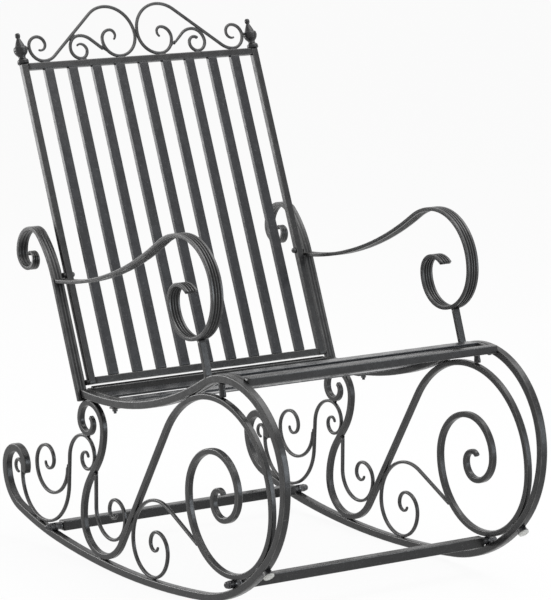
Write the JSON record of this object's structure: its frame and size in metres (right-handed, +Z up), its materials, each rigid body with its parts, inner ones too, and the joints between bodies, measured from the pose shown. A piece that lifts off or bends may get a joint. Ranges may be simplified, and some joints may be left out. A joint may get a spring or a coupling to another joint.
{
  "type": "garden rocking chair",
  "caption": "Garden rocking chair of black painted iron with scrolled rocker frames, curled arms, slatted seat and back, and a scroll crest between finials.",
  "frame": {"origin": "on the floor under the middle of the chair's overall box", "axes": "+Z up, -Y the way a sitter faces, +X to the sitter's left"},
  "size_m": [0.6104, 0.9538, 1.0179],
  "materials": {
    "frame": "satin anthracite powder coat",
    "fixings": "dark painted steel fasteners",
    "pads": "light grey plastic"
  },
  "bodies": {
    "root": {"arm_left": "frame", "arm_post_left": "frame", "arm_post_right": "frame", "arm_right": "frame", "arm_upright_left": "frame", "arm_upright_right": "frame", "back_bolts": "fixings", "back_bottom_rail": "frame", "back_post_left": "frame", "back_post_right": "frame", "back_slat_1": "frame", "back_slat_2": "frame", "back_slat_3": "frame", "back_slat_4": "frame", "back_slat_5": "frame", "back_slat_6": "frame", "back_slat_7": "frame", "back_slat_8": "frame", "back_slat_9": "frame", "back_spacers": "frame", "back_top_rail": "frame", "cradle_scroll_left": "frame", "cradle_scroll_right": "frame", "crest_scroll_left": "frame", "crest_scroll_right": "frame", "finial_left": "frame", "finial_right": "frame", "front_scroll_left": "frame", "front_scroll_right": "frame", "front_stretcher": "frame", "hook_scroll_left": "frame", "hook_scroll_right": "frame", "leg_scroll_left": "frame", "leg_scroll_right": "frame", "loop_spacers": "frame", "rear_scroll_left": "frame", "rear_scroll_right": "frame", "rear_stretcher": "frame", "rocker_bar_left": "frame", "rocker_bar_right": "frame", "seat_front_rail": "frame", "seat_lugs": "frame", "seat_nuts": "fixings", "seat_rear_rail": "frame", "seat_side_left": "frame", "seat_side_right": "frame", "seat_slat_1": "frame", "seat_slat_2": "frame", "seat_slat_3": "frame", "seat_slat_4": "frame", "seat_slat_5": "frame", "seat_slat_6": "frame", "seat_slat_7": "frame", "seat_slat_8": "frame", "seat_studs": "fixings", "small_crest_scroll_left": "frame", "small_crest_scroll_right": "frame", "stop_pads": "pads", "stretcher_bolts": "fixings", "stretcher_bosses": "frame"}
  },
  "joints": []
}
